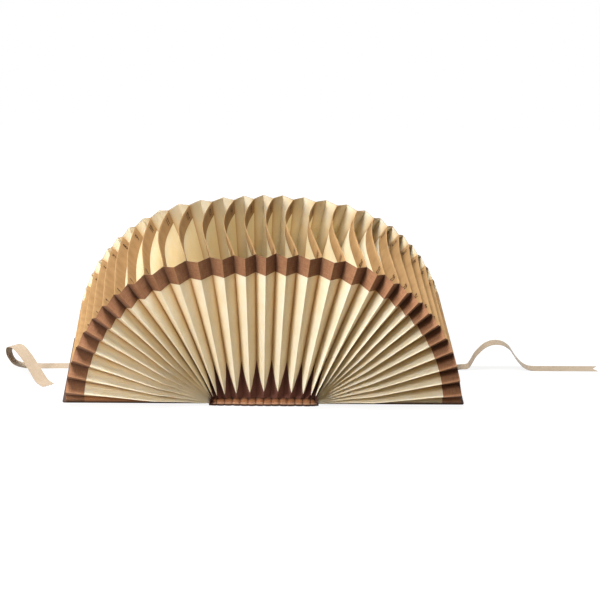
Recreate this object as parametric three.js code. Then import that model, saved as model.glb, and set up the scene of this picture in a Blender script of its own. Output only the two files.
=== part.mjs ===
// Expanding file with a pocket for each day of the month, opened to a half circle.
// It stands on its two covers, and the pockets' mouths make the outside of the arch.
// Millimetres. X runs along the spine, Y across the sheets (the near side is -Y), Z is up.
// The origin is on the table, under the middle of the spine.
import * as THREE from "three";

// Sheets and pockets
const DIVIDERS = 31; // one sheet between two neighbouring pockets
const SHEET_WIDTH = 305; // from the near gusset to the far gusset
const SHEET_DEPTH = 242.5; // from the bottom edge to the mouth edge
const SHEET_THICK = 0.6;
const BINDING_WIDTH = 25; // kraft strip folded over the mouth edge of a sheet
const BINDING_THICK = 0.4; // one layer of it, there is one on each face
const BOW_MIDDLE = 17; // how far the mouth edge of the upright sheets bows sideways
const BOW_SIDE = 3; // the same on the sheets that lie flat
const BOW_SKEW = 1.36; // above 1 the bow is fullest beyond half of the width

// Gussets
const FLANK = 28.5; // paper between a valley fold and the next ridge fold
const GUSSET_THICK = 0.8;
const GUSSET_REACH = 3; // most that a wall measures along Y where the pleats are stacked
const TAPE_WIDTH = 32; // cloth tape round the mouth of the gussets
const TAPE_THICK = 0.5;
const MITRE_RISE = 49; // the pale paper starts this much higher in a valley than on a ridge
const MITRE_TUCK = 4; // a bottom ridge ends this far outside the sheets, tucked in at the corner
const SLACK = 6; // length along Y in which the cloth comes up from the corner to its sheets
const END_RISE = 4; // of the last pleat at each end, which is pulled nearly flat by its cover
const CLOTH_THICK = 0.8; // cloth of the bottom gusset
const CLEAR = 0.3; // between pieces that touch

// Fan
const SPINE_HALF = 92.5; // from the middle to the stack of folds at each end of the spine
const SPREAD = 3.9; // folds on each side of the middle before they stack up
const SHARPNESS = 4; // how suddenly the spaced folds turn into the stack
const SHIFT = 0.48; // the spaced folds sit this part of a pitch to the right
const CROWN = 27.3; // height of the folds' roots at the middle of the spine
const STACK_FOOT = 4.5; // height that the stack of roots tends to at its foot
const ROOT_GAP = 8; // from a fold's root to the bottom edge of its sheet
const END_ANGLE = 87.7; // of the first and the last sheet, from upright
const BUNCH = 8.1; // degrees that the wide spacing at the spine takes out of the fan
const LEAN = 2.8; // degrees that the upright sheets lean to the right
const CROWDING = 2.85; // degrees by which the sheets near the middle lean together
const CROWD_MIDDLE = -0.8; // the fold that they lean to
const CROWD_LENGTH = 9.9; // folds from one crowded place to the next
const CROWD_FADE = 6.3; // folds from the middle, over which the crowding fades

// Covers, spine and ties
const COVER_LENGTH = 254;
const COVER_WIDTH = SHEET_WIDTH; // a board ends with the sheets at both sides
const COVER_THICK = 3;
const COVER_CORNER = 4; // radius at the corners of a board
const COVER_INSET = 3; // from the stack of folds to the board
const RIBS = 14; // across the spine cloth
const RIB_HEIGHT = 2.6; // from the groove to the top of a rib
const SPINE_THICK = 2; // of the spine cloth in its grooves
const ROLL_HEIGHT = 13; // of the padded roll at each end of the spine cloth
const ROLL_WIDTH = 24; // of that roll, along Y
const ROLL_PROUD = 7; // from the ends of the sheets to the outer foot of the roll
const ROLL_HALF = 88; // from the middle of the spine to where the roll has come down
const TIE_WIDTH = 24;
const TIE_THICK = 0.8;
const TIE_PLACE = 17; // from the middle of a board's mouth edge, to the far side
const HUMP_HEIGHT = 51; // of the right tie
const RIGHT_REACH = 260; // how far the right tie reaches out from its board
const LOOP_HEIGHT = 42; // of the left tie
const LOOP_REACH = 111; // how far its loop reaches out
const LOOP_FORWARD = 94; // how far its loose end lies in front of where it starts

const PAPER = finish("#e9dcae", 0.85);
const MANILA = finish("#eadfb6", 0.8);
const CLOTH = finish("#5a3222", 0.9);
const BOARD = finish("#3d2318", 0.7);
const RIBBON = finish("#dcc3a0", 0.75);

function finish(color, roughness) {
  return new THREE.MeshStandardMaterial({ color, roughness, metalness: 0, side: THREE.DoubleSide });
}

// The fan

// Sheets are counted from the middle one, 0, to the covers at -LAST and LAST. Ridge folds have
// the half numbers between them.
const LAST = (DIVIDERS + 1) / 2;
const REACH = ROOT_GAP + SHEET_DEPTH; // from a fold's root to its mouth
const radians = THREE.MathUtils.degToRad;

// Grows evenly near 0 and levels off at 1, as evenly spaced folds turn into a stack.
function levelling(count) {
  return count / (Math.abs(count) ** SHARPNESS + SPREAD ** SHARPNESS) ** (1 / SHARPNESS);
}

// Degrees by which a fold leans towards the crowded middle.
function crowding(count) {
  const turn = (2 * Math.PI * (count - CROWD_MIDDLE)) / CROWD_LENGTH;
  return CROWDING * Math.sin(turn) * Math.exp(-((count / CROWD_FADE) ** 2));
}

// Root of a fold on the spine and its angle from upright.
function fold(count) {
  const side = Math.sign(count);
  const beyond = Math.abs(count) - (LAST - 1);
  if (beyond > 0) {
    const last = fold(side * (LAST - 1));
    const foot = COVER_THICK + CLEAR;
    return {
      x: THREE.MathUtils.lerp(last.x, side * SPINE_HALF, beyond),
      z: THREE.MathUtils.lerp(last.z, foot, beyond),
      angle: THREE.MathUtils.lerp(last.angle, side * Math.PI / 2, beyond),
    };
  }
  const step = (END_ANGLE + BUNCH) / (LAST - 1);
  const lean = LEAN * Math.cos((count / (LAST - 1)) * (Math.PI / 2)) - crowding(count);
  return {
    x: SPINE_HALF * levelling(count + SHIFT),
    z: STACK_FOOT + (CROWN - STACK_FOOT) * (1 - Math.abs(count) / LAST) ** 1.2,
    angle: radians(step * count - BUNCH * levelling(count) + lean),
  };
}

// Point at a distance from a fold's root, and at a place along Y.
function onFold(count, distance, y) {
  const { x, z, angle } = fold(count);
  return new THREE.Vector3(x + distance * Math.sin(angle), y, z + distance * Math.cos(angle));
}

// Gap between the valley folds on both sides of a place in the fan.
function pitch(count, distance) {
  const low = Math.max(count - 0.5, -LAST);
  const high = Math.min(count + 0.5, LAST);
  const span = onFold(low, distance, 0).distanceTo(onFold(high, distance, 0));
  return span / (high - low);
}

const isRidge = (count) => Math.abs(count % 1) === 0.5;

// How far a ridge stands out from its valleys, from the width of its two flanks.
function ridgeRise(count, distance) {
  if (Math.abs(count) > LAST - 1) return END_RISE;
  return Math.sqrt(FLANK ** 2 - (pitch(count, distance) / 2) ** 2);
}

// Length along Y or along the sheet of a layer that is this thick across the paper.
function layer(thick, count, distance) {
  const half = pitch(count, distance) / 2;
  const slant = Math.hypot(ridgeRise(count, distance), half);
  return Math.min((thick * slant) / half, GUSSET_REACH);
}

// All folds from cover to cover: valley, ridge, valley and so on.
const FOLDS = Array.from({ length: 4 * LAST + 1 }, (_, i) => i / 2 - LAST);

// Closed solids from sheets

// Closed solid between two grids of points, grid[row][column], with a wall along each border.
function closedSheet(front, back) {
  const rows = front.length;
  const columns = front[0].length;
  const points = [...front.flat(), ...back.flat()];
  const other = rows * columns;
  const at = (row, column) => row * columns + column;
  const faces = [];
  const quad = (a, b, c, d) => faces.push(a, b, c, a, c, d);
  for (let row = 0; row + 1 < rows; row++) {
    for (let column = 0; column + 1 < columns; column++) {
      const [a, b] = [at(row, column), at(row, column + 1)];
      const [c, d] = [at(row + 1, column + 1), at(row + 1, column)];
      quad(a, b, c, d);
      quad(other + a, other + d, other + c, other + b);
    }
  }
  const border = [];
  for (let column = 0; column + 1 < columns; column++) border.push(at(0, column));
  for (let row = 0; row + 1 < rows; row++) border.push(at(row, columns - 1));
  for (let column = columns - 1; column > 0; column--) border.push(at(rows - 1, column));
  for (let row = rows - 1; row > 0; row--) border.push(at(row, 0));
  border.forEach((a, i) => {
    const b = border[(i + 1) % border.length];
    quad(b, a, other + a, other + b);
  });
  return facingOut(points, faces);
}

// Geometry with its faces turned outwards, whichever way round they were listed.
function facingOut(points, faces) {
  let volume = 0;
  for (let i = 0; i < faces.length; i += 3) {
    const [a, b, c] = faces.slice(i, i + 3).map((v) => points[v]);
    volume += a.dot(new THREE.Vector3().crossVectors(b, c));
  }
  const listed = volume < 0 ? faces.toReversed() : faces;
  const geometry = new THREE.BufferGeometry().setFromPoints(points).setIndex(listed);
  geometry.computeVertexNormals();
  return geometry;
}

// Dividers

// A sheet stands on its root with its mouth edge up. Along the width it bows to -X, most at the
// mouth. The kraft strip makes the edge thicker.
function dividerGeometry(count) {
  const { angle } = fold(count);
  const bow = BOW_SIDE + (BOW_MIDDLE - BOW_SIDE) * Math.cos(angle) ** 4;
  const body = SHEET_THICK / 2;
  const bound = body + BINDING_THICK;
  const strip = REACH - BINDING_WIDTH;
  const levels = [
    [ROOT_GAP, body],
    [REACH / 2, body],
    [strip, body],
    [strip + BINDING_THICK, bound],
    [REACH, bound],
  ];
  const across = 7;
  const side = (sign) =>
    levels.map(([height, half]) =>
      Array.from({ length: across + 1 }, (_, i) => {
        const share = i / across;
        const hump = Math.sin(Math.PI * share ** BOW_SKEW);
        const x = -bow * (height / REACH) ** 1.5 * hump + sign * half;
        return new THREE.Vector3(x, (share - 0.5) * SHEET_WIDTH, height);
      }),
    );
  return closedSheet(side(1), side(-1));
}

function divider(index) {
  const count = index - LAST + 1;
  const { x, z, angle } = fold(count);
  const mesh = new THREE.Mesh(dividerGeometry(count), MANILA);
  mesh.name = `divider_${String(index + 1).padStart(2, "0")}`;
  mesh.position.set(x, 0, z);
  mesh.rotation.y = angle;
  return mesh;
}

// Side gussets

// Layer of the pleated side wall. Each level gives its distance from the root in a valley and on
// a ridge. under lists what lies between this layer and the sheets, from the inside out.
function pleatedWall(side, levels, thick, under) {
  const grid = (outside) =>
    levels.map((edge) =>
      FOLDS.map((count) => {
        const distance = isRidge(count) ? edge.ridge : edge.valley;
        const rise = isRidge(count) ? ridgeRise(count, distance) : 0;
        const below = under.reduce((sum, part) => sum + layer(part, count, distance), 0);
        const own = outside ? layer(thick, count, distance) : 0;
        const y = SHEET_WIDTH / 2 + CLEAR + rise + below + own;
        return onFold(count, distance, side * y);
      }),
    );
  return closedSheet(grid(true), grid(false));
}

const level = (distance) => ({ ridge: distance, valley: distance });
const TAPE_START = level(REACH - TAPE_WIDTH);
const MOUTH = level(REACH);

// Pale paper of a side gusset. Its lower end is cut to a spear point on each ridge.
function sideGusset(side) {
  const spears = { ridge: ROOT_GAP, valley: ROOT_GAP + MITRE_RISE };
  return pleatedWall(side, [spears, TAPE_START, MOUTH], GUSSET_THICK, []);
}

// Cloth tape on the outer face of the gusset's mouth.
function mouthTape(side) {
  return pleatedWall(side, [TAPE_START, MOUTH], TAPE_THICK, [GUSSET_THICK, CLEAR]);
}

// Bottom gusset

// How far the cloth hangs below a fold's root: as deep as its flanks reach, but clear of the
// rolls that carry it and of the neighbours that it meets where folds are stacked.
function hang(count) {
  const { z, angle } = fold(count);
  const before = fold(count - 0.5);
  const after = fold(count + 0.5);
  const gap = Math.hypot(after.x - before.x, after.z - before.z);
  const meeting = (0.6 * gap) / (after.angle - before.angle);
  const own = layer(CLOTH_THICK, count, 0);
  const floor = (z - ROLL_HEIGHT - CLEAR) / Math.max(Math.cos(angle), 0.05) - own;
  return Math.max(Math.min(ridgeRise(count, 0), meeting, floor), 0);
}

// Brown cloth under the sheets. It starts below the spear points of the near gusset, comes down
// to the mitred corner on the roll and tucks in there. Then it rises to the bottom edge of each
// sheet, hangs down between the sheets, and goes the same way to the points of the far gusset.
function bottomGusset() {
  const onSheet = ROOT_GAP - CLEAR;
  const beside = SHEET_WIDTH / 2 + CLEAR;
  const rows = {
    seam: (count, ridge, own) => {
      const distance = ridge ? onSheet : onSheet + MITRE_RISE;
      return [distance, beside + own + (ridge ? ridgeRise(count, distance) : 0)];
    },
    corner: (count, ridge, own) => {
      const tuck = ridge ? Math.min(ridgeRise(count, 0), MITRE_TUCK) : 0;
      return [-hang(count) - own, beside + own + tuck];
    },
    under: (count, ridge, own) => [(ridge ? -hang(count) : onSheet) - own, beside - SLACK],
  };
  const stations = [
    [-1, "seam"], [-1, "corner"], [-1, "under"], [1, "under"], [1, "corner"], [1, "seam"],
  ];
  const grid = (outside) =>
    stations.map(([side, row]) =>
      FOLDS.map((count) => {
        const own = outside ? layer(CLOTH_THICK, count, onSheet) : 0;
        const [distance, y] = rows[row](count, isRidge(count), own);
        return onFold(count, distance, side * y);
      }),
    );
  return closedSheet(grid(true), grid(false));
}

// Spine cloth

const CLOTH_HALF = SPINE_HALF + COVER_INSET - CLEAR;

// Cloth that joins the two boards and lies flat on the table. Its top is moulded to round ribs
// that run the way the folds do, and each end is a padded roll under the spear points. Towards
// the boards the ribs and the rolls come down.
function spineCloth() {
  const perRib = 4;
  const across = Array.from({ length: RIBS * perRib + 1 }, (_, i) => {
    const share = (2 * i) / (RIBS * perRib) - 1;
    const x = CLOTH_HALF * share;
    const full = Math.min((RIBS / 2) * (1 - Math.abs(share)), 1);
    const rib = Math.abs(Math.sin((Math.PI * i) / perRib));
    const padding = THREE.MathUtils.clamp((RIBS / 2) * (1 - Math.abs(x) / ROLL_HALF), 0, 1);
    return { x, flat: SPINE_THICK + RIB_HEIGHT * rib * full, padding };
  });
  const end = SHEET_WIDTH / 2 + ROLL_PROUD;
  const roll = [0, 0.08, 0.3, 1].map((share) => ({
    y: end - ROLL_WIDTH * share,
    swell: Math.sin(Math.PI * Math.sqrt(share)),
  }));
  const along = [...roll.map(({ y, swell }) => ({ y: -y, swell })), ...roll.toReversed()];
  const padded = ROLL_HEIGHT - SPINE_THICK - RIB_HEIGHT;
  const top = along.map(({ y, swell }) =>
    across.map(({ x, flat, padding }) => new THREE.Vector3(x, y, flat + padded * padding * swell)),
  );
  const foot = along.map(({ y }) => across.map(({ x }) => new THREE.Vector3(x, y, 0)));
  return closedSheet(top, foot);
}

// Covers

// Board with rounded corners, flat on the table.
function board(side) {
  const near = SPINE_HALF + COVER_INSET;
  const half = COVER_WIDTH / 2;
  const far = near + COVER_LENGTH;
  const shape = new THREE.Shape();
  shape.moveTo(near, -half);
  shape.lineTo(far - COVER_CORNER, -half);
  shape.absarc(far - COVER_CORNER, -half + COVER_CORNER, COVER_CORNER, -Math.PI / 2, 0);
  shape.absarc(far - COVER_CORNER, half - COVER_CORNER, COVER_CORNER, 0, Math.PI / 2);
  shape.lineTo(near, half);
  const options = { depth: COVER_THICK, bevelEnabled: false, curveSegments: 4 };
  const geometry = new THREE.ExtrudeGeometry(shape, options);
  return side < 0 ? geometry.rotateZ(Math.PI) : geometry;
}

// Ties

const MOUTH_EDGE = SPINE_HALF + COVER_INSET + COVER_LENGTH + CLEAR;
const LYING = TIE_THICK / 2 + 0.1; // height of a tie's middle layer on the table

// Flat ribbon along a smooth path. across gives the direction of its width at each point.
function tie(path, across) {
  const route = new THREE.CatmullRomCurve3(path, false, "centripetal");
  const turn = new THREE.CatmullRomCurve3(across, false, "centripetal");
  const steps = 3 * (path.length - 1);
  const grid = (sign) =>
    Array.from({ length: steps + 1 }, (_, i) => {
      const middle = route.getPoint(i / steps);
      const ahead = route.getTangent(i / steps);
      const width = turn.getPoint(i / steps).normalize();
      const normal = new THREE.Vector3().crossVectors(ahead, width).normalize();
      const layerPoint = middle.addScaledVector(normal, (sign * TIE_THICK) / 2);
      return [-0.5, 0.5].map((half) => layerPoint.clone().addScaledVector(width, half * TIE_WIDTH));
    });
  return closedSheet(grid(1), grid(-1));
}

const point = (x, y, z) => new THREE.Vector3(x, y, z);

// Height of a tie's middle layer, as a share of the most that it reaches.
const lifted = (share, most) => THREE.MathUtils.lerp(LYING, most, share);

// The right tie leaves its cover, stands up in one springy hump and lies down. Its points are
// shares of its reach and of its height.
function rightTie() {
  const path = [
    [0, 0.02], [0.047, 0.05], [0.088, 0.08], [0.113, 0.27], [0.135, 0.5], [0.164, 0.69],
    [0.2, 0.87], [0.244, 0.98], [0.287, 1], [0.331, 0.95], [0.375, 0.79], [0.404, 0.57],
    [0.433, 0.36], [0.476, 0.13], [0.52, 0.02], [0.65, 0], [0.83, 0], [1, 0],
  ].map(([out, up]) => point(MOUTH_EDGE + RIGHT_REACH * out, TIE_PLACE, lifted(up, HUMP_HEIGHT)));
  return tie(path, path.map(() => point(0, 1, 0)));
}

// The left tie turns back over itself in a loop, and its loose end comes down in front. Each stop
// gives shares of its reach, its way forward and its height, and the turn of its width.
function leftTie() {
  const stops = [
    [0, 0, 0, 0], [0.2, 0, 0, 0], [0.42, 0.01, 0, 0], [0.7, 0.01, 0.017, 0],
    [0.9, 0, 0.18, 8], [1, -0.01, 0.59, 24], [0.95, 0.02, 0.93, 34], [0.83, 0.12, 1, 38],
    [0.685, 0.31, 0.81, 44], [0.52, 0.57, 0.4, 52], [0.38, 0.82, 0.06, 56], [0.26, 1, 0, 56],
  ];
  const path = stops.map(([out, forward, up]) =>
    point(
      -MOUTH_EDGE - LOOP_REACH * out,
      TIE_PLACE - LOOP_FORWARD * forward,
      lifted(up, LOOP_HEIGHT),
    ),
  );
  const across = stops.map(([, , , turn]) =>
    point(Math.sin(radians(turn)), Math.cos(radians(turn)), 0),
  );
  return tie(path, across);
}

// Assembly

function piece(name, geometry, material) {
  const mesh = new THREE.Mesh(geometry, material);
  mesh.name = name;
  return mesh;
}

const covers = new THREE.Group();
covers.add(piece("left_cover", board(-1), BOARD));
covers.add(piece("right_cover", board(1), BOARD));
covers.add(piece("spine_cloth", spineCloth(), CLOTH));
covers.add(piece("left_tie", leftTie(), RIBBON));
covers.add(piece("right_tie", rightTie(), RIBBON));

const bellows = new THREE.Group();
bellows.add(piece("bottom_gusset", bottomGusset(), CLOTH));
bellows.add(piece("near_gusset", sideGusset(-1), PAPER));
bellows.add(piece("far_gusset", sideGusset(1), PAPER));
bellows.add(piece("near_mouth_tape", mouthTape(-1), CLOTH));
bellows.add(piece("far_mouth_tape", mouthTape(1), CLOTH));
for (let index = 0; index < DIVIDERS; index++) bellows.add(divider(index));

const expandingFile = new THREE.Group();
expandingFile.add(covers, bellows);

export default expandingFile;
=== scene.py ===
# Expanding file with a pocket for each day of the month, opened to a half circle on a table.
# Metres. X runs along the spine, Y across the sheets (the near side is -Y), Z is up.
from math import cos, pi, radians, sin

import bmesh
import bpy
import numpy as np
from mathutils import Matrix, Vector


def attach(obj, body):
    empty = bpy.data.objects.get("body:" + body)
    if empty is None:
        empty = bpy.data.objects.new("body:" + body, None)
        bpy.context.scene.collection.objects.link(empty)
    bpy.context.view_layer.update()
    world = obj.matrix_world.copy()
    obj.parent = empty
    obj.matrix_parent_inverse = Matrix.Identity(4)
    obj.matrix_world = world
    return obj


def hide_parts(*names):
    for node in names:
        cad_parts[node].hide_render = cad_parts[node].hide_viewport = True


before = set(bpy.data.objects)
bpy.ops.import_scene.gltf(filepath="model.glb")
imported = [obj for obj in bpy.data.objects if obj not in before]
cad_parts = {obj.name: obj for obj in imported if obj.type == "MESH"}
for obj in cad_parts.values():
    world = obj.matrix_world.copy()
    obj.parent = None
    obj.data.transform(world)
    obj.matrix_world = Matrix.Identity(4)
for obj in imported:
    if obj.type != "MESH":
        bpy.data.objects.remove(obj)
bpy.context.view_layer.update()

# The setting
# The file stands on a white table in front of a white background. One lamp on the left and one above
# light it, and little light comes from the right, so every pleat has a dark side.

EYE = Vector((-0.0634, -3.6066, 1.4759))
LOOK_DOWN, LOOK_RIGHT, ROLL = radians(20.36), radians(2.04), radians(1.1)
FOCUS = 2156.3 / 600  # focal length as a share of the picture's width
SENSOR = 36
TABLE_SIZE = 3.2
LAMP_AIM = Vector((0, 0, 0.1))


def aim(eye, down, turn, roll):
    """Matrix of a camera at eye that looks along +Y, turned to the right, down and then rolled."""
    ahead = Vector((sin(turn) * cos(down), cos(turn) * cos(down), -sin(down)))
    level = Vector((cos(turn), -sin(turn), 0))
    over = level.cross(ahead)
    right = level * cos(roll) + over * sin(roll)
    up = over * cos(roll) - level * sin(roll)
    axes = Matrix((right, up, -ahead)).transposed()
    return Matrix.Translation(eye) @ axes.to_4x4()


def add_object(name, data):
    """New object at the origin, in the scene."""
    made = bpy.data.objects.new(name, data)
    bpy.context.scene.collection.objects.link(made)
    return made


lens = bpy.data.cameras.new("camera")
lens.sensor_width = SENSOR
lens.lens = SENSOR * FOCUS
lens.clip_end = 100
camera = add_object("camera", lens)
camera.matrix_world = aim(EYE, LOOK_DOWN, LOOK_RIGHT, ROLL)
bpy.context.scene.camera = camera
bpy.context.scene.view_settings.view_transform = "Standard"


def node(tree, kind, inputs=None, **settings):
    """New node. An input is set to a value, or linked if it is given another node's socket."""
    made = tree.nodes.new(kind)
    for name, value in settings.items():
        setattr(made, name, value)
    for name, value in (inputs or {}).items():
        if isinstance(value, bpy.types.NodeSocket):
            tree.links.new(value, made.inputs[name])
        else:
            made.inputs[name].default_value = value
    return made


def blend(tree, share, low, high, mode="MIX"):
    """Colour between two colours; the share and the colours are values or sockets."""
    mixed = node(tree, "ShaderNodeMix", data_type="RGBA", blend_type=mode)
    for index, value in ((0, share), (6, low), (7, high)):
        if isinstance(value, bpy.types.NodeSocket):
            tree.links.new(value, mixed.inputs[index])
        else:
            mixed.inputs[index].default_value = value
    return mixed.outputs[2]


def seen_directly(tree):
    """1 for camera, glossy and transmission rays, which see the white background, and 0 for others."""
    path = node(tree, "ShaderNodeLightPath")
    first = node(tree, "ShaderNodeMath", {0: path.outputs["Is Camera Ray"],
                 1: path.outputs["Is Glossy Ray"]}, operation="MAXIMUM")
    both = node(tree, "ShaderNodeMath", {0: first.outputs[0],
                1: path.outputs["Is Transmission Ray"]}, operation="MAXIMUM")
    return both.outputs[0]


def lamp(name, place, size, power, colour):
    """Square area lamp that points at the middle of the file."""
    data = bpy.data.lights.new(name, "AREA")
    data.size = size
    data.energy = power
    data.color = colour
    made = add_object(name, data)
    made.matrix_world = Matrix.Translation(place) @ (
        (LAMP_AIM - place).to_track_quat("-Z", "Y").to_matrix().to_4x4())
    made.visible_camera = False
    return made


lamp("key_lamp", Vector((-2.1, -1.9, 1.5)), 0.9, 66, (1, 0.985, 0.97))
lamp("top_lamp", Vector((-0.6, -0.25, 3.0)), 1.3, 145, (1, 0.98, 0.95))

world = bpy.data.worlds.new("studio")
bpy.context.scene.world = world
world.use_nodes = True
sky = world.node_tree
sky.nodes.clear()
glow = blend(sky, seen_directly(sky), (0.095, 0.092, 0.082, 1), (1, 1, 1, 1))
backdrop = node(sky, "ShaderNodeBackground", {"Color": glow})
node(sky, "ShaderNodeOutputWorld", {"Surface": backdrop.outputs[0]})

table_mesh = bpy.data.meshes.new("table")
half_table = TABLE_SIZE / 2
table_mesh.from_pydata(
    [(-half_table, -half_table, 0), (half_table, -half_table, 0),
     (half_table, half_table, 0), (-half_table, half_table, 0)], [], [(0, 1, 2, 3)])
table = add_object("table", table_mesh)
table_finish = bpy.data.materials.new("white_table")
table_finish.use_nodes = True
tree = table_finish.node_tree
tree.nodes.clear()
shown = node(tree, "ShaderNodeBsdfDiffuse", {"Color": (0.16, 0.16, 0.16, 1)})
light = node(tree, "ShaderNodeEmission", {"Color": (1, 1, 1, 1), "Strength": 0.9})
white = node(tree, "ShaderNodeAddShader", {0: shown.outputs[0], 1: light.outputs[0]})
dull = node(tree, "ShaderNodeBsdfDiffuse", {"Color": (0.4, 0.35, 0.27, 1)})
both = node(tree, "ShaderNodeMixShader",
            {0: seen_directly(tree), 1: dull.outputs[0], 2: white.outputs[0]})
node(tree, "ShaderNodeOutputMaterial", {"Surface": both.outputs[0]})
table_mesh.materials.append(table_finish)

# The two boards
# Stiff millboard wrapped in dark brown book cloth. The cloth makes the edges and corners round, and
# each board lies flat on the table, outside the stack of folds.

SPINE_HALF = 0.0925  # from the middle to the stack of folds at each end of the spine
BOARD_LENGTH, BOARD_WIDTH, BOARD_THICK = 0.254, 0.305, 0.003
BOARD_CORNER, BOARD_EDGE = 0.004, 0.0011
BOARD_INSET = 0.003


def colour(code):
    """Linear colour from the usual six-figure code, with alpha."""
    parts = np.array([int(code[i:i + 2], 16) for i in (1, 3, 5)]) / 255
    linear = np.where(parts <= 0.04045, parts / 12.92, ((parts + 0.055) / 1.055) ** 2.4)
    return (*linear.tolist(), 1.0)


def new_finish(name, roughness, sheen=0.0):
    """Material with one Principled shader; returns it with its node tree and the shader."""
    made = bpy.data.materials.new(name)
    made.use_nodes = True
    tree = made.node_tree
    shader = tree.nodes["Principled BSDF"]
    shader.inputs["Roughness"].default_value = roughness
    shader.inputs["Specular IOR Level"].default_value = 0.25
    shader.inputs["Sheen Weight"].default_value = sheen
    shader.inputs["Sheen Roughness"].default_value = 0.5
    return made, tree, shader


def new_group(name, inputs, outputs):
    """Empty shader group. Its inputs are given as name and default, its outputs as names."""
    group = bpy.data.node_groups.new(name, "ShaderNodeTree")
    for title, default in inputs.items():
        kind = "NodeSocketVector" if default is None else "NodeSocketFloat"
        socket = group.interface.new_socket(name=title, in_out="INPUT", socket_type=kind)
        if default is not None:
            socket.default_value = default
    for title in outputs:
        group.interface.new_socket(name=title, in_out="OUTPUT", socket_type="NodeSocketFloat")
    return group, node(group, "NodeGroupInput"), node(group, "NodeGroupOutput")


def sums(tree, operation, a, b):
    """Output of a Math node."""
    return node(tree, "ShaderNodeMath", {0: a, 1: b}, operation=operation).outputs[0]


# Plain weave: the height is sin(threads along x) times sin(threads along y), and the slub is noise
# drawn out along both sets of threads.
weave, came, went = new_group("plain_weave", {"Vector": None, "Threads": 1200.0}, ["Height", "Slub"])
turns = sums(weave, "MULTIPLY", came.outputs["Threads"], pi)
spread = node(weave, "ShaderNodeVectorMath", {0: came.outputs["Vector"], "Scale": turns},
              operation="SCALE")
axes = node(weave, "ShaderNodeSeparateXYZ", {0: spread.outputs[0]})
warp = node(weave, "ShaderNodeMath", {0: axes.outputs[0]}, operation="SINE").outputs[0]
weft = node(weave, "ShaderNodeMath", {0: axes.outputs[1]}, operation="SINE").outputs[0]
threads = sums(weave, "MULTIPLY", warp, weft)
slubs = []
for stretch in ((60, 900, 60), (900, 60, 900)):
    drawn = node(weave, "ShaderNodeMapping", {0: came.outputs["Vector"], "Scale": stretch})
    slubs.append(node(weave, "ShaderNodeTexNoise", {"Vector": drawn.outputs[0], "Scale": 1.0,
                      "Detail": 2.0}).outputs[0])
slub = sums(weave, "MULTIPLY", sums(weave, "ADD", *slubs), 0.5)
rough = sums(weave, "MULTIPLY_ADD", threads, 0.25)
weave.links.new(slub, rough.node.inputs[2])
weave.links.new(rough, went.inputs["Height"])
weave.links.new(slub, went.inputs["Slub"])


def use_group(tree, group, inputs):
    """Placed copy of a shader group."""
    made = node(tree, "ShaderNodeGroup")
    made.node_tree = group
    for name, value in inputs.items():
        if isinstance(value, bpy.types.NodeSocket):
            tree.links.new(value, made.inputs[name])
        else:
            made.inputs[name].default_value = value
    return made


def stretch(tree, value, low, high, to_low=0.0, to_high=1.0):
    """Value spread from the range low to high onto another range, smoothly."""
    return node(tree, "ShaderNodeMapRange",
                {"Value": value, "From Min": low, "From Max": high,
                 "To Min": to_low, "To Max": to_high},
                interpolation_type="SMOOTHSTEP").outputs[0]


def raised(tree, height, depth, strength=1.0):
    """Normal of a bump of this depth in metres."""
    return node(tree, "ShaderNodeBump", {"Height": height, "Distance": depth,
                "Strength": strength}).outputs[0]


def cloth_finish(name, dark, light, roughness, sheen, place="Object", threads=1200.0):
    """Book cloth or tape: a weave with slubs, worn lighter in patches."""
    made, tree, shader = new_finish(name, roughness, sheen)
    where = node(tree, "ShaderNodeTexCoord").outputs[place]
    woven = use_group(tree, weave, {"Vector": where, "Threads": threads})
    patches = node(tree, "ShaderNodeTexNoise", {"Vector": where, "Scale": 38.0, "Detail": 3.0})
    share = stretch(tree, woven.outputs["Slub"], 0.35, 0.65)
    tone = blend(tree, share, colour(dark), colour(light))
    worn = stretch(tree, patches.outputs[0], 0.35, 0.75, 0.0, 0.35)
    tree.links.new(blend(tree, worn, tone, colour(light)), shader.inputs["Base Color"])
    tree.links.new(raised(tree, woven.outputs["Height"], 0.00025), shader.inputs["Normal"])
    return made


def add_piece(name, points, faces, finish, slot, nodes=(), uv=None, values=None, sharp=40):
    """Closed piece from points and faces, turned outwards, that rides with the model."""
    first = faces if isinstance(faces, np.ndarray) else np.array([f[:3] for f in faces])
    corners = points[first[:, :3]]
    volume = np.einsum("ij,ij->", corners[:, 0], np.cross(corners[:, 1], corners[:, 2]))
    if isinstance(faces, np.ndarray):
        corners = points[faces[:, [0, 2, 3]]]
        volume += np.einsum("ij,ij->", corners[:, 0], np.cross(corners[:, 1], corners[:, 2]))
        faces = faces[:, ::-1] if volume < 0 else faces
    mesh = bpy.data.meshes.new(name)
    mesh.from_pydata(points, [], faces)
    corner = np.empty(len(mesh.loops), np.int32)
    mesh.loops.foreach_get("vertex_index", corner)
    if uv is not None:
        layer = mesh.uv_layers.new(name="UVMap")
        layer.data.foreach_set("uv", uv[corner].astype(np.float32).ravel())
    for title, numbers in (values or {}).items():
        attribute = mesh.attributes.new(title, "FLOAT", "POINT")
        attribute.data.foreach_set("value", numbers.astype(np.float32).ravel())
    mesh.polygons.foreach_set("use_smooth", np.ones(len(mesh.polygons), bool))
    mesh.set_sharp_from_angle(angle=radians(sharp))
    mesh.materials.append(finish)
    made = add_object(name, mesh)
    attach(made, "root")
    if nodes:
        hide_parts(*nodes)
    return made


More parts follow.
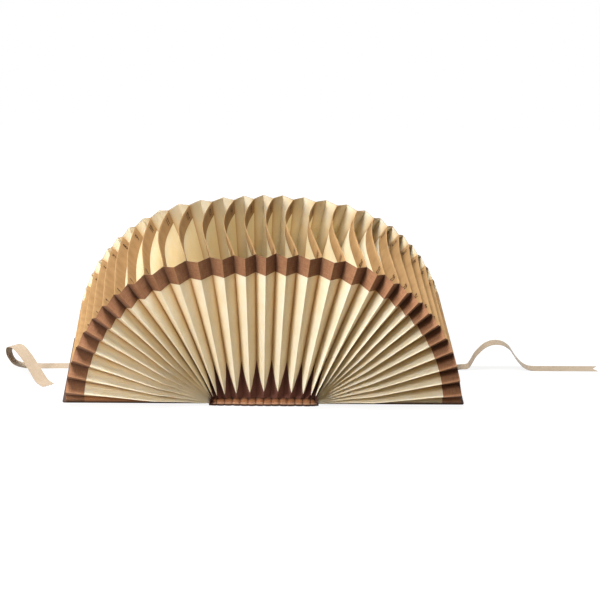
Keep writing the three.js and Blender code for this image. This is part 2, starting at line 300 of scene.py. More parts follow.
def rounded_outline(low, high, radius, steps=6):
    """Corners of a rectangle as quarter circles, anticlockwise: centre plus radius times (cos, sin)."""
    turn = np.linspace(0, pi / 2, steps)
    centres = [(high[0] - radius, high[1] - radius), (low[0] + radius, high[1] - radius),
               (low[0] + radius, low[1] + radius), (high[0] - radius, low[1] + radius)]
    arcs = [np.stack([x + radius * np.cos(turn + quarter * pi / 2),
                      y + radius * np.sin(turn + quarter * pi / 2)], -1)
            for quarter, (x, y) in enumerate(centres)]
    return np.concatenate(arcs)


def rounded_slab(low, high, thick, radius, edge, steps=5):
    """Slab whose rim is a quarter circle at the bottom and another at the top: inset edge·(1 - sin)
    and height edge·(1 - cos), with the same outline at every level."""
    turn = np.linspace(0, pi / 2, steps)
    inset = np.concatenate([edge * (1 - np.sin(turn)), edge * (1 - np.sin(turn[::-1]))])
    height = np.concatenate([edge * (1 - np.cos(turn)), thick - edge * (1 - np.cos(turn[::-1]))])
    rings = []
    for inward, level in zip(inset, height):
        ring = rounded_outline(np.array(low) + inward, np.array(high) - inward, radius - inward)
        rings.append(np.column_stack([ring, np.full(len(ring), level)]))
    count = len(rings[0])
    index = np.arange(count * len(rings)).reshape(len(rings), count)
    after = np.roll(index, -1, axis=1)
    sides = np.stack([index[:-1], after[:-1], after[1:], index[1:]], -1).reshape(-1, 4)
    faces = [*sides.tolist(), index[0, ::-1].tolist(), index[-1].tolist()]
    return np.concatenate(rings), faces


book_cloth = cloth_finish("book_cloth", "#2f1b14", "#4a2c20", 0.62, 0.25)
inner_end = SPINE_HALF + BOARD_INSET
for side, title in ((-1, "left"), (1, "right")):
    across = sorted((side * inner_end, side * (inner_end + BOARD_LENGTH)))
    slab, slab_faces = rounded_slab((across[0], -BOARD_WIDTH / 2), (across[1], BOARD_WIDTH / 2),
                                    BOARD_THICK, BOARD_CORNER, BOARD_EDGE)
    add_piece(title + "_board", slab, slab_faces, book_cloth, "cover_board", [title + "_cover"])

# The spine cloth
# Dark book cloth goes on from board to board under the spine. On it lies stout brown cloth, moulded to
# fourteen round ribs, and each of its ends is rolled over a cord, under the spear points.

CLEAR = 0.0003  # between pieces that touch
RIBS = 14
RIB_HEIGHT = 0.0026
SPINE_THICK = 0.002
ROLL_HEIGHT, ROLL_WIDTH = 0.013, 0.024
ROLL_HALF = 0.0915  # from the middle of the spine to where the roll has come down
LIP = 0.16  # share of the roll's width that lies flat in front of it
ROLL_END = 0.1595  # from the middle to the outer foot of the roll
BACKING = 0.0017  # thickness of the dark cloth, which is padded to the boards' thickness at its ends
CLOTH_HALF = SPINE_HALF + BOARD_INSET - CLEAR


def closed_sheet(front, back):
    """Points and faces of the solid between two grids (rows, columns, 3), with a wall round it."""
    rows, columns = front.shape[:2]
    points = np.concatenate([front.reshape(-1, 3), back.reshape(-1, 3)])
    index = np.arange(rows * columns).reshape(rows, columns)
    a, b, c, d = index[:-1, :-1], index[:-1, 1:], index[1:, 1:], index[1:, :-1]
    face = np.stack([a, b, c, d], -1).reshape(-1, 4)
    other = np.stack([a, d, c, b], -1).reshape(-1, 4) + rows * columns
    border = np.concatenate([index[0, :-1], index[:-1, -1], index[-1, :0:-1], index[:0:-1, 0]])
    after = np.roll(border, -1)
    rim = np.stack([after, border, border + rows * columns, after + rows * columns], -1)
    return points, np.concatenate([face, other, rim])


def spine_surfaces(columns=337, rows=34):
    """Top of the brown cloth, its foot, the top of the dark cloth under it, and masks: painted
    highlight on the flat lip, and painted shade that darkens the roll upwards and in the grooves. The
    top has the thickness plus rib height times |sin|^0.45 across. Along the last stretch before each
    end the roll rises, past a flat lip, as the sine of pi times the square root of the way in, and each
    rib bulges outwards."""
    share = np.linspace(-1, 1, columns)
    x = CLOTH_HALF * share
    fade = np.clip(RIBS / 2 * (1 - np.abs(share)), 0, 1)
    rib = np.abs(np.sin(pi * RIBS * (share + 1) / 2)) ** 0.45 * fade
    padding = np.clip(1.2 * RIBS * (1 - np.abs(x) / ROLL_HALF), 0, 1)
    padding = padding * padding * (3 - 2 * padding)
    draws = np.random.default_rng(14).normal(0, 0.0003, RIBS + 1)
    uneven = np.interp(share, np.linspace(-1, 1, RIBS + 1), draws)
    end = ROLL_END - 0.0008 + 0.0012 * np.sqrt(1 - share ** 4) + 0.0017 * rib + uneven
    part = np.linspace(0, 1, rows) ** 1.6
    swell = np.sin(pi * np.sqrt(np.clip((part - LIP) / (1 - LIP), 0, 1)))[:, None]
    out = end - ROLL_WIDTH * part[:, None]
    padded = BACKING + (BOARD_THICK - BACKING) * np.clip(1.6 - 2 * part[:, None], 0, 1)
    base = padded + SPINE_THICK - BACKING + RIB_HEIGHT * rib
    height = base + (ROLL_HEIGHT - BOARD_THICK - RIB_HEIGHT) * swell * padding
    levels = []
    for z, more in ((height, 0.0), (padded + 0.00003, 0.0), (padded, 0.001)):
        near = np.stack(np.broadcast_arrays(x, -out - more * (part[:, None] < 0.01), z), -1)
        levels.append(np.concatenate([near, near[::-1] * (1, -1, 1)]))
    # Painted highlight: the flat lip at the roll's foot is lighter. Painted shade: the roll gets darker
    # upwards and in the grooves.
    rubbed = np.clip(1 - part / LIP, 0, 1)[:, None] + 0 * rib
    shaded = np.clip(np.clip((part[:, None] - LIP) / 0.08, 0, 0.7) + 0.35 * (1 - rib), 0, 0.85)
    masks = {name: np.tile(np.concatenate([mask, mask[::-1]]).ravel(), 2)
             for name, mask in (("rubbed", rubbed), ("shaded", shaded))}
    return *levels, masks


spine_brown = cloth_finish("spine_cloth", "#a96a40", "#c98d5e", 0.72, 0.2, threads=900.0)
tree = spine_brown.node_tree
spine_colour = tree.nodes["Principled BSDF"].inputs["Base Color"]
tone = spine_colour.links[0].from_socket
# The roll's colour takes the painted shade, then the painted highlight.
for mask, share, code in (("shaded", 1.0, "#43261e"), ("rubbed", 0.75, "#e6b38e")):
    amount = node(tree, "ShaderNodeAttribute", attribute_name=mask).outputs["Fac"]
    tone = blend(tree, sums(tree, "MULTIPLY", amount, share), tone, colour(code))
tree.links.new(tone, spine_colour)
spine_top, spine_foot, backing_top, spine_masks = spine_surfaces()
add_piece("ribbed_spine", *closed_sheet(spine_top, spine_foot), spine_brown, "brown_cloth",
          ["spine_cloth"], values=spine_masks)
add_piece("spine_backing", *closed_sheet(backing_top, backing_top * (1, 1, 0)), book_cloth,
          "cover_board", ["spine_cloth"])

# The fan
# All folds stand on the spine and spread like a fan. Folds are counted from the middle sheet, 0, to
# the boards at -16 and 16: sheets are glued in the valleys, which have whole numbers, and the ridges
# between them have the half numbers.

DIVIDERS = 31
LAST = (DIVIDERS + 1) // 2
SHEET_WIDTH, SHEET_DEPTH = 0.305, 0.2425
SPREAD = 3.9  # folds on each side of the middle before they stack up
SHARPNESS = 4  # how suddenly the spaced folds turn into the stack
SHIFT = 0.48  # the spaced folds sit this part of a pitch to the right
CROWN, STACK_FOOT = 0.0273, 0.0045
ROOT_GAP = 0.008  # from a fold's root to the bottom edge of its sheet
REACH = ROOT_GAP + SHEET_DEPTH
END_ANGLE, BUNCH, LEAN = 87.7, 8.1, 2.8
CROWDING = 2.85  # degrees by which the sheets near the middle lean together
CROWD_MIDDLE, CROWD_LENGTH, CROWD_FADE = -0.8, 9.9, 6.3  # in folds


def levelling(count):
    """Grows evenly near 0 and levels off at 1: count / (|count|^n + spread^n)^(1/n)."""
    return count / (np.abs(count) ** SHARPNESS + SPREAD ** SHARPNESS) ** (1 / SHARPNESS)


def fold(count):
    """Root x, root z and angle from upright of each fold. The x levels off, and the z falls as the
    share left to the board, to the power 1.2. The angle grows evenly, less the bunching and less a
    fading sine wave that crowds the middle. Past the last sheet all go straight to the board."""
    inner = np.clip(count, 1 - LAST, LAST - 1).astype(float)
    beyond = np.clip(np.abs(count) - (LAST - 1), 0, 1)
    side = np.sign(count)
    x = SPINE_HALF * levelling(inner + SHIFT)
    z = STACK_FOOT + (CROWN - STACK_FOOT) * (1 - np.abs(inner) / LAST) ** 1.2
    step = (END_ANGLE + BUNCH) / (LAST - 1)
    wave = np.sin(2 * pi * (inner - CROWD_MIDDLE) / CROWD_LENGTH)
    lean = LEAN * np.cos(inner / (LAST - 1) * pi / 2)
    lean = lean - CROWDING * wave * np.exp(-(inner / CROWD_FADE) ** 2)
    angle = np.radians(step * inner - BUNCH * levelling(inner) + lean)
    x = x + (side * SPINE_HALF - x) * beyond
    z = z + (BOARD_THICK + CLEAR - z) * beyond
    angle = angle + (side * pi / 2 - angle) * beyond
    return x, z, angle


def on_fold(count, reach, y):
    """Point at a distance from a fold's root: root + reach·(sin, cos) of its angle."""
    x, z, angle = fold(count)
    parts = np.broadcast_arrays(x + reach * np.sin(angle), y, z + reach * np.cos(angle))
    return np.stack(parts, -1)


FLANK = 0.0285  # paper between a valley fold and the next ridge fold
END_RISE = 0.004  # of the last pleat at each end, which is pulled nearly flat by its board
DRAWN_IN = 0.6  # share of their rise that the stacked pleats lose at the foot
DRAWN_FROM, DRAWN_FOLDS, DRAWN_LENGTH = 4.5, 4, 0.1


def pitch(count, reach):
    """Gap between the folds half a step before and after, per whole step."""
    low, high = np.maximum(count - 0.5, -LAST), np.minimum(count + 0.5, LAST)
    gap = on_fold(high, reach, 0.0) - on_fold(low, reach, 0.0)
    return np.linalg.norm(gap, axis=-1) / (high - low)


def stacked(count):
    """0 for the folds that stand apart, and 1 for those in the stacks at both ends."""
    return np.clip((np.abs(count) - DRAWN_FROM) / DRAWN_FOLDS, 0, 1)


def ridge_rise(count, reach):
    """How far a ridge stands out: the other side of a right triangle with half a pitch. The stacked
    pleats are drawn in at the foot, by a share that fades as the height to the power 1.5."""
    full = np.sqrt(FLANK ** 2 - (pitch(count, reach) / 2) ** 2)
    foot = 1 - np.clip(reach / DRAWN_LENGTH, 0, 1) ** 1.5
    full = full * (1 - DRAWN_IN * stacked(count) * foot)
    return np.where(np.abs(count) > LAST - 1, END_RISE, full)


FLANK_STEPS = np.array([0, 0.012, 0.035, 0.08, 0.2, 0.35, 0.5, 0.65, 0.8, 0.92, 0.965, 0.988])
CREASE = 0.022  # roundness of the folds, as a share of the flank


class Pleats:
    """Columns of a pleated wall from one fold to another, with several columns on each flank."""

    def __init__(self, start, end, seed=7):
        flanks = int(round(2 * (end - start)))
        order = np.repeat(np.arange(flanks), len(FLANK_STEPS))
        share = np.tile(FLANK_STEPS, flanks)
        self.order = np.append(order, flanks - 1)
        self.share = np.append(share, 1.0)
        self.low = start + self.order / 2
        self.high = self.low + 0.5
        rising = np.isclose(self.low % 1, 0)
        self.ridge = np.where(rising, self.high, self.low)
        up = np.where(rising, self.share, 1 - self.share)
        self.up = up
        rounded = np.sqrt(up ** 2 + CREASE ** 2) - np.sqrt((1 - up) ** 2 + CREASE ** 2)
        self.rise = (rounded + 1) / 2
        draws = np.random.default_rng(seed).normal(0, 1, 4 * LAST + 4)
        self.bow = draws[np.round(2 * (self.low + LAST)).astype(int)] * 0.012 + 0.02
        self.along = (self.low - start) * 2 * FLANK + self.share * FLANK

    def layer(self, thick, reach, most):
        """Length along Y of a layer this thick across the paper."""
        half = pitch(self.ridge, reach) / 2
        return np.minimum(thick * np.hypot(ridge_rise(self.ridge, reach), half) / half, most)

    def wall(self, side, reach, thick, most=0.002):
        """Points of a layer: straight from fold to fold, standing out by the rounded rise, and
        bowed a little between the folds. reach has one row for each level."""
        low, high = on_fold(self.low, reach, 0.0), on_fold(self.high, reach, 0.0)
        points = low + (high - low) * self.share[:, None]
        lean = (high - low) * (self.bow * np.sin(pi * self.share))[:, None]
        out = SHEET_WIDTH / 2 + CLEAR + ridge_rise(self.ridge, reach) * self.rise
        out = out + self.layer(thick, reach, most)
        points = points + lean * np.where(self.up == self.share, -1, 1)[:, None]
        points[..., 1] = side * out
        return points

    def marks(self, rows):
        """Masks of both layers, by distance from a fold: near a ridge, for wear, and in a valley and
        wide of it, for painted shade.
        """
        ridge = np.exp(-(1 - self.up) * FLANK / 0.0012)
        valley = np.exp(-self.up * FLANK / 0.004)
        hollow = np.exp(-(self.up * FLANK / 0.012) ** 2)
        masks = {"ridge": ridge, "valley": valley, "hollow": hollow}
        return {title: np.tile(mask, 2 * rows) for title, mask in masks.items()}

    def map(self, reach):
        """Map in metres: along the pleats, and along the folds."""
        one = np.stack([np.broadcast_to(self.along, reach.shape), reach], -1).reshape(-1, 2)
        return np.concatenate([one, one])


# The bottom gusset
# Brown cloth that runs under all the pockets. At each side it comes down between the spear points to
# the mitred corner, is folded in there, comes up to the sheets and goes on to the other side.

SPEAR_START = ROOT_GAP  # a spear's point, from the root
VALLEY_START = ROOT_GAP + 0.049  # the pale paper starts here in a valley
BOTTOM_THICK = 0.0006
MITRE_TUCK = 0.004  # a bottom ridge ends this far outside the sheets, tucked in at the corner
SLACK = 0.006  # length along Y in which the cloth comes up from the corner to its sheets


def spear_edge(pleats):
    """Where the pale paper starts: point of the spear on the ridge, and rounded sides. In the stacks
    the spears are shorter and go down to the roots."""
    tight = stacked(pleats.low + pleats.share / 2)
    point = SPEAR_START * (1 - 0.9 * tight)
    return point + (VALLEY_START - SPEAR_START) * (1 - 0.6 * tight) * (1 - pleats.up) ** 1.45


def hang(count, own):
    """How far the cloth hangs below a fold's root: down to the rolls that carry it, and clear of its
    neighbours where the folds are stacked."""
    x, z, angle = fold(count)
    before, after = fold(count - 0.5), fold(count + 0.5)
    gap = np.hypot(after[0] - before[0], after[1] - before[1])
    meeting = 0.6 * gap / (after[2] - before[2])
    floor = (z - ROLL_HEIGHT - CLEAR) / np.maximum(np.cos(angle), 0.05) - own
    return np.clip(np.minimum(np.minimum(ridge_rise(count, 0.0), meeting), floor), 0, None)


def bottom_layer(pleats, thick):
    """Rows from the near seam down to the near corner, up to the sheets, under them, and the same way
    to the far seam. Each row is straight between a valley and a ridge."""
    own = pleats.layer(thick, 0.0, 0.003)
    half = SHEET_WIDTH / 2 + CLEAR
    valley = np.where(pleats.ridge == pleats.high, pleats.low, pleats.high)
    deep, shallow = (-hang(count, own) - own for count in (pleats.ridge, valley))

    def between(low, high):
        return low + (high - low) * pleats.rise[:, None]

    def side_rows(side):
        seam = pleats.wall(side, (spear_edge(pleats) - CLEAR / 2)[None], thick, 0.003)[0]
        tuck = np.minimum(ridge_rise(pleats.ridge, 0.0), MITRE_TUCK)
        corner = between(on_fold(valley, shallow, side * (half + own)),
                         on_fold(pleats.ridge, deep, side * (half + tuck + own)))
        under = between(on_fold(valley, ROOT_GAP - CLEAR - own, side * (half - SLACK)),
                        on_fold(pleats.ridge, deep, side * (half - SLACK)))
        ease = np.linspace(0, 1, 14)[:, None]
        rows = seam + (corner - seam) * ease[..., None]
        rows[..., 1] = seam[:, 1] + (corner - seam)[:, 1] * ease ** 0.6
        rising = corner + (under - corner) * np.linspace(0, 1, 5)[1:, None, None]
        return np.concatenate([rows, rising])

    near, far = side_rows(-1), side_rows(1)
    across = near[-1] + (far[-1] - near[-1]) * np.linspace(0, 1, 8)[1:-1, None, None]
    return np.concatenate([near, across, far[::-1]])


def pleated_cloth(name, dark, light, deep, roughness, sheen, worn_ridge=0.3, valley_shade=0.6, fold="valley"):
    """Cloth glued over pleats: the weave follows the folds, the ridges are worn lighter, and the
    valleys
    get painted shade: the deep colour, by the given share, over the mask that fold names."""
    made, tree, shader = new_finish(name, roughness, sheen)
    where = node(tree, "ShaderNodeTexCoord").outputs["UV"]
    woven = use_group(tree, weave, {"Vector": where, "Threads": 1100.0})
    patches = node(tree, "ShaderNodeTexNoise", {"Vector": where, "Scale": 55.0, "Detail": 4.0})
    tone = blend(tree, stretch(tree, woven.outputs["Slub"], 0.35, 0.65), colour(dark), colour(light))
    worn = stretch(tree, patches.outputs[0], 0.35, 0.8, 0.0, 0.3)
    tone = blend(tree, worn, tone, colour(light))
    ridge = node(tree, "ShaderNodeAttribute", attribute_name="ridge").outputs["Fac"]
    valley = node(tree, "ShaderNodeAttribute", attribute_name=fold).outputs["Fac"]
    tone = blend(tree, sums(tree, "MULTIPLY", ridge, worn_ridge), tone, colour("#bb9068"))
    # Painted shade: the deep colour in the valleys, or wide of them.
    tone = blend(tree, sums(tree, "MULTIPLY", valley, valley_shade), tone, colour(deep))
    tree.links.new(tone, shader.inputs["Base Color"])
    tree.links.new(raised(tree, woven.outputs["Height"], 0.0002), shader.inputs["Normal"])
    return made


# Its deep colour is painted shade in the valleys.
bottom_brown = pleated_cloth("bottom_cloth", "#6e463e", "#82574b", "#5c3830", 0.85, 0.0, 0.0)
whole = Pleats(-LAST, LAST)
bottom_out, bottom_in = bottom_layer(whole, BOTTOM_THICK), bottom_layer(whole, 0.0)
reach_map = np.linspace(0, 0.4, len(bottom_out))[:, None] + np.zeros(len(whole.up))
add_piece("bottom_gusset_cloth", *closed_sheet(bottom_out, bottom_in), bottom_brown, "brown_cloth",
          ["bottom_gusset"], whole.map(reach_map), whole.marks(len(bottom_out)))

# The side gussets
# Two pale paper bellows with thirty-two pleats each. The paper is cut to a spear point on each ridge
# at the foot. The last pleat on the left is lined with brown cloth from the board to the first sheet.

GUSSET_THICK = 0.0004
PAPER_EDGE = REACH - 0.0004  # the tape goes a little further than the paper

# Pressed fibre: clouds are slow noise, and fibres are noise drawn out along the second direction.
fibre, came, went = new_group("pressed_fibre", {"Vector": None, "Clouds": 30.0}, ["Cloud", "Fibre"])
clouds = node(fibre, "ShaderNodeTexNoise", {"Vector": came.outputs["Vector"],
              "Scale": came.outputs["Clouds"], "Detail": 5.0})
drawn = node(fibre, "ShaderNodeMapping", {0: came.outputs["Vector"], "Scale": (1.0, 0.12, 1.0)})
fibres = node(fibre, "ShaderNodeTexNoise", {"Vector": drawn.outputs[0], "Scale": 900.0,
              "Detail": 3.0})
fibre.links.new(clouds.outputs[0], went.inputs["Cloud"])
fibre.links.new(fibres.outputs[0], went.inputs["Fibre"])


def paper_finish(name, pale, deep, fibre_and_shade, roughness, through):
    """Paper or card: cloudy fibre, with pale ridges where it is folded, and painted shade, darker and
    more golden, deep in the valleys and pockets. through is the share of the light that goes into it,
    and in part through it."""
    made, tree, shader = new_finish(name, roughness)
    shader.inputs["Subsurface Weight"].default_value = through
    shader.inputs["Subsurface Radius"].default_value = (1.0, 0.92, 0.8)
    shader.inputs["Subsurface Scale"].default_value = 0.0009
    where = node(tree, "ShaderNodeTexCoord").outputs["UV"]
    pressed = use_group(tree, fibre, {"Vector": where, "Clouds": 30.0})
    cloud = stretch(tree, pressed.outputs["Cloud"], 0.3, 0.7)
    tone = blend(tree, cloud, colour(pale), colour(deep))
    grain = stretch(tree, pressed.outputs["Fibre"], 0.4, 0.75, 0.0, 0.12)
    # The fibres have the same colour as the painted shade in the valleys.
    tone = blend(tree, grain, tone, colour(fibre_and_shade))
    ridge = node(tree, "ShaderNodeAttribute", attribute_name="ridge").outputs["Fac"]
    valley = node(tree, "ShaderNodeAttribute", attribute_name="valley").outputs["Fac"]
    hollow = node(tree, "ShaderNodeAttribute", attribute_name="hollow").outputs["Fac"]
    # Painted shade: golden wide of each valley and deep in the pockets.
    tone = blend(tree, sums(tree, "MULTIPLY", hollow, 0.4), tone, colour("#e9cb8c"))
    tone = blend(tree, sums(tree, "MULTIPLY", ridge, 0.35), tone, colour("#f7efdb"))
    # Painted shade: darker brown in the valleys.
    tone = blend(tree, sums(tree, "MULTIPLY", valley, 0.7), tone, colour(fibre_and_shade))
    tree.links.new(tone, shader.inputs["Base Color"])
    tree.links.new(raised(tree, pressed.outputs["Fibre"], 0.00012), shader.inputs["Normal"])
    return made


# Its brown fibre colour is also the painted shade in the valleys.
cream_paper = paper_finish("cream_paper", "#eee3cd", "#eadcc0", "#a9752f", 0.75, 0.9)
# Its deep colour is painted shade in the valleys.
lining = pleated_cloth("lining_cloth", "#b0744c", "#cc966c", "#8a5436", 0.8, 0.1)


def gusset_piece(name, pleats, side, finish, slot):
    """Wall from the spear edge to the mouth."""
    start = spear_edge(pleats)
    levels = np.concatenate([np.linspace(0, 0.2, 9) ** 1.2, np.linspace(0.2, 1, 14)[1:]])[:, None]
    reach = start + (PAPER_EDGE - start) * levels
    skins = [pleats.wall(side, reach, thick) for thick in (GUSSET_THICK, 0.0)]
    node_name = "near_gusset" if side < 0 else "far_gusset"
    return add_piece(name, *closed_sheet(*skins), finish, slot, [node_name], pleats.map(reach),
                     pleats.marks(len(reach)))


for side, title in ((-1, "near"), (1, "far")):
    gusset_piece(title + "_pleats", Pleats(1 - LAST, LAST), side, cream_paper, "gusset_paper")
    gusset_piece(title + "_lined_pleat", Pleats(-LAST, 1 - LAST), side, lining, "brown_cloth")

# The mouth tapes
# Brown cloth tape glued on the outside of each gusset's mouth, level with the paper's edge.

TAPE_WIDTH, TAPE_THICK = 0.032, 0.0003
GLUE = 0.00005

# Its near-black deep colour is painted shade, wide of each valley.
tape_cloth = pleated_cloth("mouth_tape", "#83573c", "#a07454", "#2e1913", 0.7, 0.05, 0.3, 0.5, "hollow")
for side, title in ((-1, "near"), (1, "far")):
    reach = np.linspace(REACH, REACH - TAPE_WIDTH, 9)[:, None] + np.zeros(len(whole.up))
    skins = [whole.wall(side, reach, GUSSET_THICK + GLUE + thick, 0.0025)
             for thick in (TAPE_THICK, 0.0)]
    add_piece(title + "_tape", *closed_sheet(*skins), tape_cloth, "brown_cloth",
              [title + "_mouth_tape"], whole.map(reach), whole.marks(len(reach)))

# The dividers
# Thirty-one sheets of thin manila card, glued at both ends in the valleys of the gussets. Each is
# bowed to the left, most at its mouth. A kraft strip is folded over the mouth edge.

CARD_THICK = 0.0006
KRAFT_WIDTH, KRAFT_THICK = 0.025, 0.0004
BOW_MIDDLE, BOW_SIDE = 0.017, 0.003  # bow of the upright sheets and of those that lie flat
BOW_SKEW = 1.36  # above 1 the bow is fullest beyond half of the width
CARD_COLUMNS = 49


def on_divider(count, share, height, offset, bow_share=1.0):
    """Point of a sheet: share of the way from near to far, height from its root, and offset from its
    middle layer. The bow is bow·(height / reach)^1.5·sin(pi·share^skew), to the left."""
    x, z, angle = fold(np.array(float(count)))
    bow = (BOW_SIDE + (BOW_MIDDLE - BOW_SIDE) * np.cos(angle) ** 4) * bow_share
    across = offset - bow * (height / REACH) ** 1.5 * np.sin(pi * share ** BOW_SKEW)
    parts = np.broadcast_arrays(
        x + across * np.cos(angle) + height * np.sin(angle),
        (share - 0.5) * SHEET_WIDTH,
        z - across * np.sin(angle) + height * np.cos(angle))
    return np.stack(parts, -1)


def divider_skin(count, profile, bow_share):
    """Grid of a profile of (offset, height) points carried from the near end to the far end."""
    share = np.linspace(0, 1, CARD_COLUMNS)[None]
    offset, height = (np.array(part)[:, None] for part in zip(*profile))
    return on_divider(count, share, height, offset, bow_share)


def painted_pocket_shade(profile):
    """Mask of painted shade on both skins, which grows from the strip's foot down to a third of the
    sheet's depth.
    """
    below = np.clip((REACH - KRAFT_WIDTH - np.array(profile)[:, 1]) / (SHEET_DEPTH / 3), 0, 1)
    return {"hollow": np.repeat(np.tile(below, 2), CARD_COLUMNS)}


def divider_map(profile):
    """Map in metres of both skins: along the mouth edge, and along the profile."""
    steps = np.abs(np.diff(np.array(profile), axis=0)).sum(-1)
    along = np.concatenate([[0], np.cumsum(steps)])[:, None]
    width = np.linspace(0, SHEET_WIDTH, CARD_COLUMNS)[None]
    one = np.stack(np.broadcast_arrays(along, width), -1).reshape(-1, 2)
    return np.concatenate([one, one])


# The cards get the golden painted shade deep in the pockets.
manila = paper_finish("manila_card", "#faf1d8", "#f7e9c4", "#dcb467", 0.7, 0.9)
kraft = paper_finish("kraft_strip", "#b49165", "#a27f54", "#82603e", 0.72, 0.0)
card_top = REACH - 0.0006
half_card, half_kraft = CARD_THICK / 2, CARD_THICK / 2 + KRAFT_THICK
card_heights = np.linspace(ROOT_GAP, card_top, 18)
strip_foot = REACH - KRAFT_WIDTH
strip_heights = np.linspace(strip_foot, REACH - 0.001, 6)
bows = 1 + np.random.default_rng(31).normal(0, 0.07, DIVIDERS)
for index in range(DIVIDERS):
    count = index + 1 - LAST
    label = f"{index + 1:02d}"
    right_face = [(half_card, height) for height in card_heights]
    left_face = [(-half_card, height) for height in card_heights]
    skins = [divider_skin(count, face, bows[index]) for face in (right_face, left_face)]
    add_piece("divider_card_" + label, *closed_sheet(*skins), manila, "divider_card",
              ["divider_" + label], divider_map(right_face), painted_pocket_shade(right_face))
    rising = [(-1.0, height) for height in strip_heights]
    over = [(-0.7, REACH - 0.0003), (0.0, REACH), (0.7, REACH - 0.0003)]
    falling = [(1.0, height) for height in strip_heights[::-1]]
    outer = [(half_kraft * part, height) for part, height in rising + over + falling]
    tight = (half_card + GLUE) / half_kraft
    inner = [(offset * tight, min(height, card_top + GLUE)) for offset, height in outer]
    skins = [divider_skin(count, face, bows[index]) for face in (outer, inner)]
    add_piece("kraft_strip_" + label, *closed_sheet(*skins), kraft, "divider_card",
              ["divider_" + label], divider_map(outer))

# The printed numbers
# Each strip has its day's number printed in dark brown on both faces, near both ends. At the near end
# it stands further in, where the gusset leaves it in sight.

NUMBER_HEIGHT = 0.017
NUMBER_PLACES = (0.044, SHEET_WIDTH - 0.026)
INK_THICK = 0.00006

ink, tree, shader = new_finish("brown_ink", 0.6)
spots = node(tree, "ShaderNodeTexNoise", {"Vector": node(tree, "ShaderNodeTexCoord").outputs["Object"],
             "Scale": 900.0})
tree.links.new(blend(tree, spots.outputs[0], colour("#3b2212"), colour("#5a3a20")),
               shader.inputs["Base Color"])


def number_shape(text):
    """Merged mesh of a printed number, centred, one unit high and one unit thick."""
    curve = bpy.data.curves.new("number", "FONT")
    curve.body = text
    curve.extrude = 0.5
    curve.resolution_u = 3
    curve.offset = 0.04
    curve.align_x = "CENTER"
    curve.align_y = "CENTER"
    holder = add_object("number", curve)
    shapes = bpy.context.evaluated_depsgraph_get()
    mesh = bpy.data.meshes.new_from_object(holder.evaluated_get(shapes))
    made = bmesh.new()
    made.from_mesh(mesh)
    bmesh.ops.remove_doubles(made, verts=made.verts, dist=1e-5)
    bmesh.ops.recalc_face_normals(made, faces=made.faces)
    points = np.array([v.co for v in made.verts])
    faces = [[v.index for v in face.verts] for face in made.faces]
    made.free()
    bpy.data.objects.remove(holder)
    return points, faces


all_points, all_faces, filled = [], [], 0
for index in range(DIVIDERS):
    count = index + 1 - LAST
    shape, shape_faces = number_shape(str(index + 1))
    for face_side in (-1, 1):
        for end in NUMBER_PLACES:
            along = end + face_side * shape[:, 0] * NUMBER_HEIGHT
            height = REACH - KRAFT_WIDTH / 2 + shape[:, 1] * NUMBER_HEIGHT
            offset = face_side * (half_kraft + GLUE + (shape[:, 2] + 0.5) * INK_THICK)
            placed = on_divider(count, along / SHEET_WIDTH, height, offset, bows[index])
            all_points.append(placed)
            all_faces += [[corner + filled for corner in face] for face in shape_faces]
            filled += len(placed)
add_piece("printed_numbers", np.concatenate(all_points), all_faces, ink, "divider_card", sharp=30)

# The ribbon ties
# A flat woven ribbon from the middle of each board's mouth edge. The right one stands up in a
# springy hump and ends in a swallow tail. The left one turns back in a loop, and its loose end comes
# down in front.

TIE_WIDTH, TIE_THICK = 0.024, 0.0005
MOUTH_EDGE = inner_end + BOARD_LENGTH + CLEAR
LYING = 0.0005  # height of a tie's middle layer on the table
TIE_PLACE = 0.017  # from the middle of a board's mouth edge, to the far side
HUMP_HEIGHT, RIGHT_REACH = 0.051, 0.26
LOOP_HEIGHT, LOOP_REACH, LOOP_FORWARD = 0.042, 0.111, 0.094
TIE_COLUMNS, TIE_ROWS = 9, 180


def route(points, place):
    """Centripetal Catmull-Rom curve: place counts the points, and each stretch is the Hermite cubic
    whose end slopes come from the square roots of the gaps."""
    points = np.array(points, float)
    padded = np.vstack([2 * points[0] - points[1], points, 2 * points[-1] - points[-2]])
    index = np.clip(np.floor(place).astype(int), 0, len(points) - 2)
    t = (place - index)[..., None]
    p0, p1, p2, p3 = (padded[index + k] for k in range(4))
    gap = [np.sqrt(np.linalg.norm(b - a, axis=-1, keepdims=True)) + 1e-9
           for a, b in ((p0, p1), (p1, p2), (p2, p3))]
    first = (p1 - p0) / gap[0] - (p2 - p0) / (gap[0] + gap[1]) + (p2 - p1) / gap[1]
    second = (p2 - p1) / gap[1] - (p3 - p1) / (gap[1] + gap[2]) + (p3 - p2) / gap[2]
    first, second = first * gap[1], second * gap[1]
    return (p1 * (2 * t ** 3 - 3 * t ** 2 + 1) + first * (t ** 3 - 2 * t ** 2 + t)
            + p2 * (3 * t ** 2 - 2 * t ** 3) + second * (t ** 3 - t ** 2))


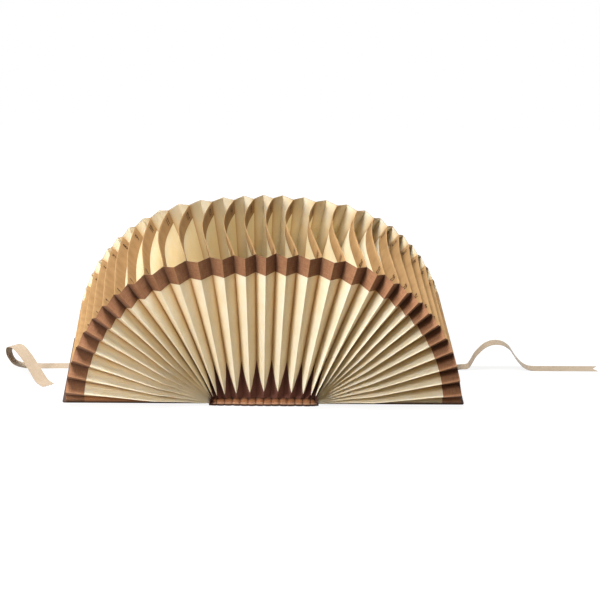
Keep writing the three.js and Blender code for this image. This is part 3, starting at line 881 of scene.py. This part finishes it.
def tie_piece(name, path, across, cut, finish):
    """Ribbon along a smooth path. cut gives, for each place across from -1 to 1, the share of the
    path where the ribbon ends."""
    place_across = np.linspace(-1, 1, TIE_COLUMNS)
    place = np.linspace(0, 1, TIE_ROWS)[:, None] * cut(place_across) * (len(path) - 1)
    middle = route(path, place)
    ahead = route(path, np.minimum(place + 0.01, len(path) - 1)) - route(path, place - 0.01)
    ahead /= np.linalg.norm(ahead, axis=-1, keepdims=True)
    wide = route(across, place)
    wide -= ahead * (wide * ahead).sum(-1, keepdims=True)
    wide /= np.linalg.norm(wide, axis=-1, keepdims=True)
    normal = np.cross(ahead, wide)
    edge = (place_across * TIE_WIDTH / 2)[None, :, None]
    skins = [middle + wide * edge + normal * side * TIE_THICK / 2 for side in (1, -1)]
    steps = np.linalg.norm(np.diff(middle[:, TIE_COLUMNS // 2], axis=0), axis=-1)
    along = np.concatenate([[0], np.cumsum(steps)])[:, None]
    one = np.stack(np.broadcast_arrays(edge[..., 0], along), -1).reshape(-1, 2)
    made = add_piece(name, *closed_sheet(*skins), finish, "ribbon", [name.replace("ribbon", "tie")],
                     np.concatenate([one, one]))
    return made


ribbon_finish, tree, shader = new_finish("ribbon", 0.55, 0.3)
where = node(tree, "ShaderNodeTexCoord").outputs["UV"]
woven = use_group(tree, weave, {"Vector": where, "Threads": 1400.0})
tone = blend(tree, stretch(tree, woven.outputs["Slub"], 0.35, 0.65), colour("#9f8d78"),
             colour("#b3a18b"))
tree.links.new(tone, shader.inputs["Base Color"])
tree.links.new(raised(tree, woven.outputs["Height"], 0.0002), shader.inputs["Normal"])

right_stops = [
    (0, 0.02), (0.047, 0.05), (0.088, 0.08), (0.113, 0.27), (0.135, 0.5), (0.164, 0.69),
    (0.2, 0.87), (0.244, 0.98), (0.287, 1), (0.331, 0.95), (0.375, 0.79), (0.404, 0.57),
    (0.433, 0.36), (0.476, 0.13), (0.52, 0.02), (0.65, 0), (0.83, 0), (1, 0),
]
right_path = [(MOUTH_EDGE + RIGHT_REACH * out, TIE_PLACE, LYING + (HUMP_HEIGHT - LYING) * up)
              for out, up in right_stops]
right_across = [(0, 1, 0)] * len(right_path)
tie_piece("right_ribbon", right_path, right_across, lambda u: 1 - 0.011 * (1 - np.abs(u)),
          ribbon_finish)

left_stops = [
    (0, 0, 0, 0), (0.2, 0, 0, 0), (0.42, 0.01, 0, 0), (0.7, 0.01, 0.017, 0),
    (0.88, 0, 0.18, 6), (0.96, -0.01, 0.59, 18), (0.92, 0.02, 0.93, 45), (0.82, 0.12, 1, 58),
    (0.685, 0.31, 0.81, 50), (0.52, 0.57, 0.4, 52), (0.38, 0.82, 0.06, 56), (0.26, 1, 0, 56),
]
left_path = [(-MOUTH_EDGE - LOOP_REACH * out, TIE_PLACE - LOOP_FORWARD * forward,
              LYING + (LOOP_HEIGHT - LYING) * up) for out, forward, up, _ in left_stops]
left_across = [(sin(radians(turn)), cos(radians(turn)), 0) for *_, turn in left_stops]
tie_piece("left_ribbon", left_path, left_across, lambda u: 1 + 0.01 * (np.abs(u * 4 % 2 - 1) - 1),
          ribbon_finish)
